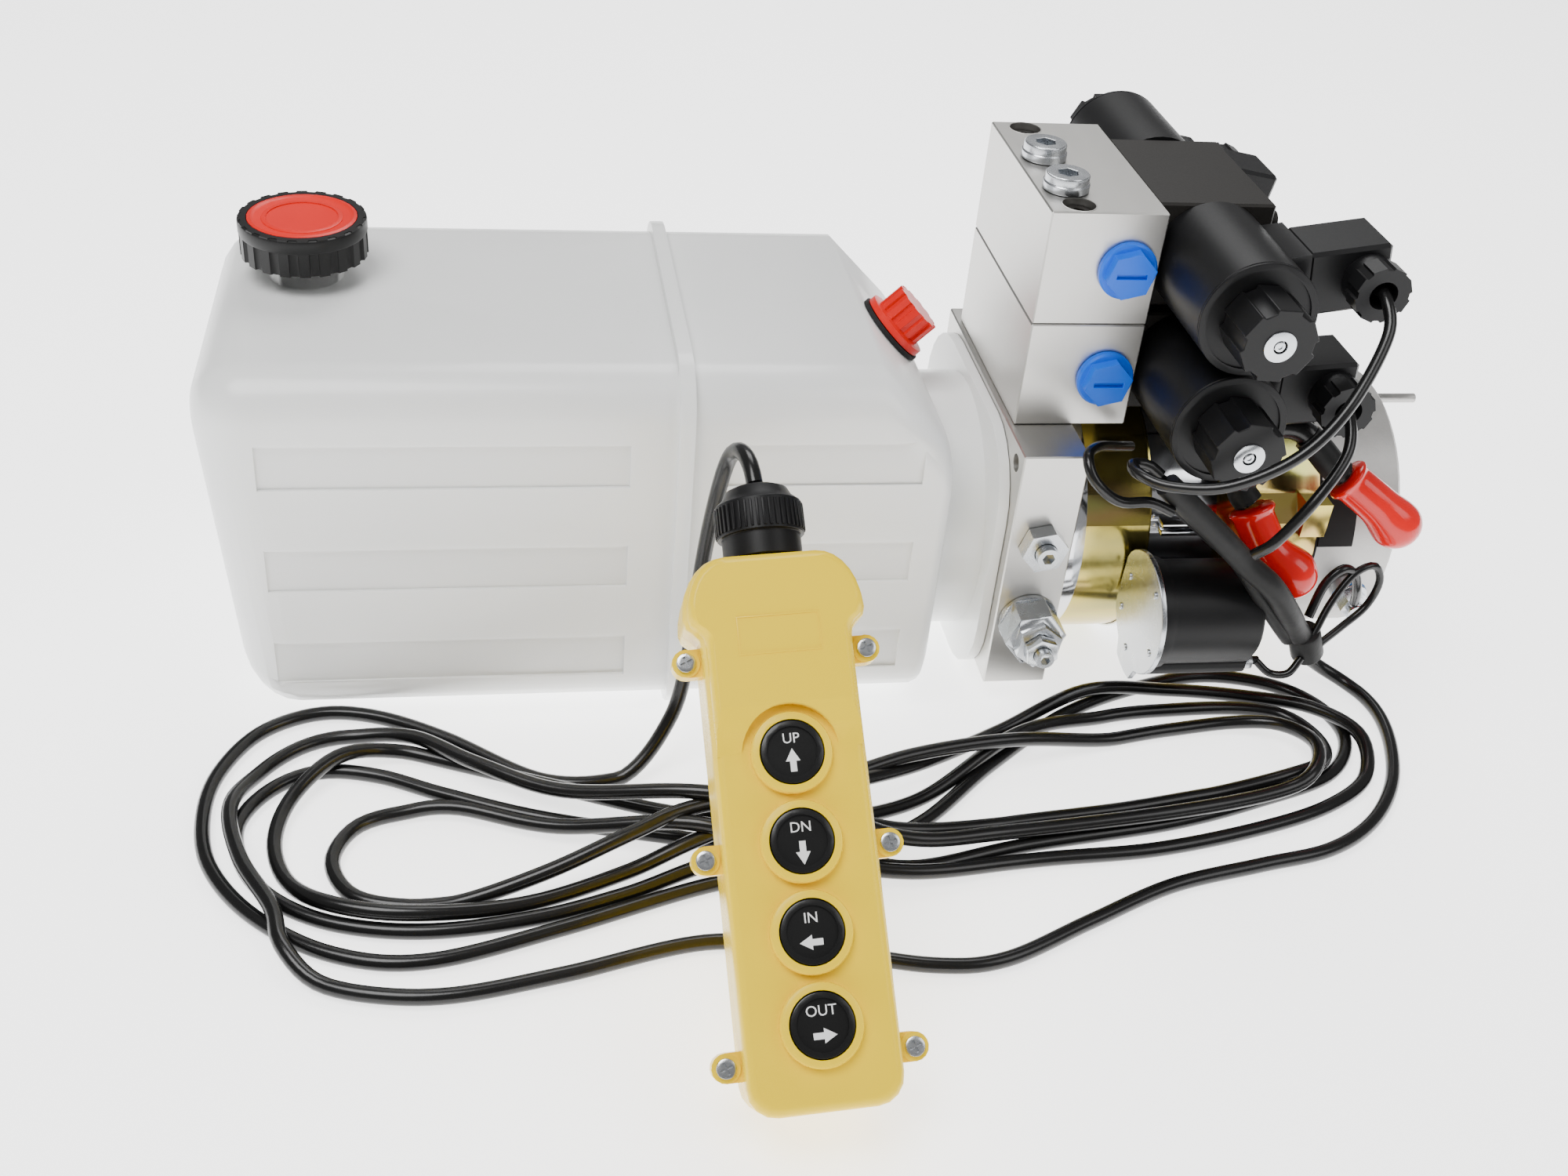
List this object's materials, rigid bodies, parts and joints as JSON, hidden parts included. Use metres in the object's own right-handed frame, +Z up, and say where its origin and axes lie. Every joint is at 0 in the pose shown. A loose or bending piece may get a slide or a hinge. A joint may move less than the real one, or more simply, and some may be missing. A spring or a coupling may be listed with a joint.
{
  "type": "hydraulic power unit",
  "caption": "Electric hydraulic power unit with plastic oil tank, valve blocks, solenoid valves, DC motor, start contactor and wired push-button pendant.",
  "frame": {"origin": "centre of the footprint on the standing surface, cord left out", "axes": "+X along the motor's axis from the tank to the motor, +Y from the pendant to the back, +Z up"},
  "size_m": [0.5534, 0.438, 0.2372],
  "materials": {
    "tank_plastic": "translucent white blow-moulded plastic, slightly waxy",
    "cap_black": "moulded black plastic with ribs",
    "cap_red": "moulded red plastic",
    "seal_rubber": "black nitrile",
    "block_aluminium": "milled, fine tool marks",
    "zinc_steel": "bright zinc plate",
    "port_blue": "moulded blue transit plug",
    "valve_black": "phosphated cast iron",
    "coil_black": "moulded black plastic",
    "yellow_zinc": "yellow zinc passivated steel tube",
    "cast_aluminium": "sand-cast, slightly grainy",
    "bright_chrome": "bright plated steel strap",
    "iron_core": "laminated iron and copper",
    "gear_steel": "ground steel",
    "boot_red": "glossy red soft vinyl",
    "cable_black": "smooth black cable sheath",
    "sleeve_black": "black heat-shrink sleeve",
    "pendant_yellow": "moulded yellow plastic with a fine texture",
    "button_black": "moulded black plastic with white legends",
    "strainer_mesh": "fine wire mesh"
  },
  "bodies": {
    "unit": {"tank_shell": "tank_plastic", "suction_strainer": "strainer_mesh", "pump_body": "cast_aluminium", "centre_manifold": "block_aluminium", "lower_valve_block": "block_aluminium", "upper_valve_block": "block_aluminium", "port_plug_upper": "port_blue", "port_plug_lower": "port_blue", "gauge_plug_front": "zinc_steel", "gauge_plug_rear": "zinc_steel", "relief_lock_nut": "zinc_steel", "check_valve_body": "zinc_steel", "motor_housing": "yellow_zinc", "motor_end_cap": "cast_aluminium", "contactor_strap": "bright_chrome", "contactor_body": "coil_black", "contactor_plate": "zinc_steel", "motor_boot": "boot_red", "contactor_boot": "boot_red", "power_link_cable": "cable_black", "ground_terminal": "zinc_steel", "pendant_back": "pendant_yellow", "pendant_front": "pendant_yellow", "pendant_gland": "coil_black", "pendant_cord": "cable_black", "upper_front_lead": "cable_black", "lower_front_lead": "cable_black", "rear_lead": "cable_black", "harness_sleeve": "sleeve_black", "upper_valve_body": "valve_black", "upper_front_coil": "coil_black", "upper_front_coil_nut": "coil_black", "upper_front_connector": "coil_black", "upper_rear_coil": "coil_black", "upper_rear_coil_nut": "coil_black", "upper_rear_connector": "coil_black", "lower_valve_body": "valve_black", "lower_front_coil": "coil_black", "lower_front_coil_nut": "coil_black", "lower_front_connector": "coil_black", "lower_rear_coil": "coil_black", "lower_rear_coil_nut": "coil_black", "lower_rear_connector": "coil_black"},
    "filler_gasket": {"filler_gasket": "seal_rubber"},
    "filler_cap": {"filler_cap": "cap_black", "filler_cap_insert": "cap_red"},
    "shoulder_plug_gasket": {"shoulder_plug_gasket": "seal_rubber"},
    "shoulder_plug": {"shoulder_plug": "cap_red"},
    "rotor": {"motor_armature": "iron_core", "drive_gear": "gear_steel"},
    "driven_gear": {"driven_gear": "gear_steel"},
    "upper_spool": {"upper_spool": "gear_steel"},
    "lower_spool": {"lower_spool": "gear_steel"},
    "contactor_plunger": {"contactor_plunger": "gear_steel"},
    "relief_adjuster": {"relief_adjuster": "zinc_steel"},
    "check_adjuster": {"check_adjuster": "zinc_steel"},
    "up_button": {"up_button": "button_black"},
    "down_button": {"down_button": "button_black"},
    "in_button": {"in_button": "button_black"},
    "out_button": {"out_button": "button_black"}
  },
  "joints": [
    {"name": "filler_gasket_lift", "type": "slide", "parent": "unit", "child": "filler_gasket", "axis": [0, 0, 1], "range_m": [0, 0.006]},
    {"name": "filler_cap_turn", "type": "hinge", "parent": "filler_gasket", "child": "filler_cap", "pos_m": [-0.234, 0.119, 0.178], "axis": [0, 0, 1], "range_deg": [0, 540]},
    {"name": "shoulder_plug_gasket_lift", "type": "slide", "parent": "unit", "child": "shoulder_plug_gasket", "axis": [0.7071, 0, 0.7071], "range_m": [0, 0.006]},
    {"name": "shoulder_plug_turn", "type": "hinge", "parent": "shoulder_plug_gasket", "child": "shoulder_plug", "pos_m": [0.0165, 0.102, 0.151], "axis": [0.7071, 0, 0.7071], "range_deg": [0, 720]},
    {"name": "rotor_spin", "type": "hinge", "parent": "unit", "child": "rotor", "pos_m": [0.1245, 0.102, 0.064], "axis": [1, 0, 0], "continuous": true},
    {"name": "driven_gear_spin", "type": "hinge", "parent": "unit", "child": "driven_gear", "pos_m": [0.0365, 0.102, 0.0882], "axis": [1, 0, 0], "continuous": true},
    {"name": "upper_spool_shift", "type": "slide", "parent": "unit", "child": "upper_spool", "axis": [0, 1, 0], "range_m": [-0.003, 0.003], "stiffness_N_per_m": 2000},
    {"name": "lower_spool_shift", "type": "slide", "parent": "unit", "child": "lower_spool", "axis": [0, 1, 0], "range_m": [-0.003, 0.003], "stiffness_N_per_m": 2000},
    {"name": "contactor_plunger_pull", "type": "slide", "parent": "unit", "child": "contactor_plunger", "axis": [1, 0, 0], "range_m": [0, 0.003], "stiffness_N_per_m": 800, "springref_m": -0.002},
    {"name": "relief_adjuster_turn", "type": "hinge", "parent": "unit", "child": "relief_adjuster", "pos_m": [0.077, 0.025, 0.088], "axis": [0, -1, 0], "range_deg": [-360, 360]},
    {"name": "check_adjuster_turn", "type": "hinge", "parent": "unit", "child": "check_adjuster", "pos_m": [0.0775, 0.025, 0.047], "axis": [0, -1, 0], "range_deg": [-360, 360]},
    {"name": "up_button_press", "type": "slide", "parent": "unit", "child": "up_button", "axis": [0.0414, 0.6581, -0.7518], "range_m": [0, 0.003], "stiffness_N_per_m": 800, "springref_m": -0.002},
    {"name": "down_button_press", "type": "slide", "parent": "unit", "child": "down_button", "axis": [0.0414, 0.6581, -0.7518], "range_m": [0, 0.003], "stiffness_N_per_m": 800, "springref_m": -0.002},
    {"name": "in_button_press", "type": "slide", "parent": "unit", "child": "in_button", "axis": [0.0414, 0.6581, -0.7518], "range_m": [0, 0.003], "stiffness_N_per_m": 800, "springref_m": -0.002},
    {"name": "out_button_press", "type": "slide", "parent": "unit", "child": "out_button", "axis": [0.0414, 0.6581, -0.7518], "range_m": [0, 0.003], "stiffness_N_per_m": 800, "springref_m": -0.002}
  ],
  "couplings": [
    {"joint": "filler_gasket_lift", "follows": "filler_cap_turn", "m_per_rad": 0.000636},
    {"joint": "shoulder_plug_gasket_lift", "follows": "shoulder_plug_turn", "m_per_rad": 0.000477},
    {"joint": "driven_gear_spin", "follows": "rotor_spin", "ratio": -1}
  ]
}
